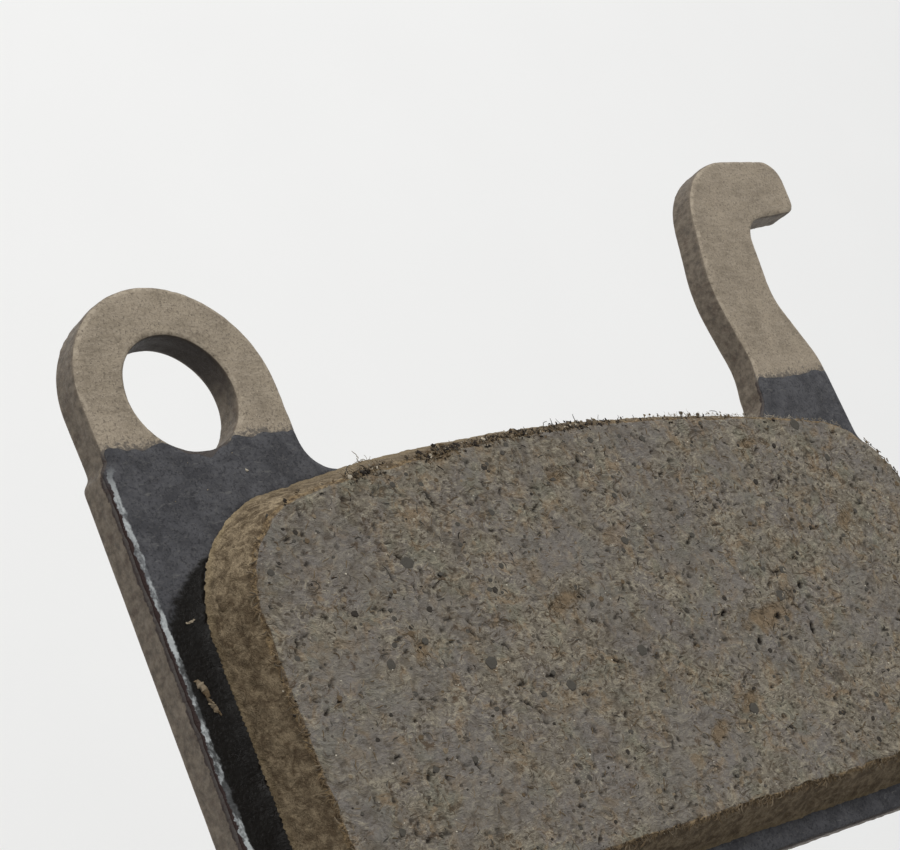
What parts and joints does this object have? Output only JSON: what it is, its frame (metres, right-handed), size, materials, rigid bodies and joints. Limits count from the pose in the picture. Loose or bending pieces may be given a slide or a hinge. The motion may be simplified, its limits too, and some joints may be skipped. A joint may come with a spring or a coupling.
{
  "type": "disc brake pad",
  "caption": "Disc brake pad: stamped steel plate with a ring eye and an open hook for hanger pins, bonded friction block.",
  "frame": {"origin": "on the plate's back face, under the middle of the whole pad's outline", "axes": "+Z out of the rubbing face, +X along the pad from eye to hook, +Y towards eye and hook (away from the axle)"},
  "size_m": [0.0988, 0.069, 0.0071],
  "materials": {
    "plate_steel": "matte, tumbled, lightly tarnished",
    "bond_coat": "satin blue-black primer and adhesive",
    "underlayer": "rough moulded, tan-brown",
    "lining": "ground face, granular with pits and fibres"
  },
  "bodies": {
    "root": {"backing_plate": "plate_steel", "bond_coat": "bond_coat", "underlayer": "underlayer", "friction_block": "lining"}
  },
  "joints": []
}
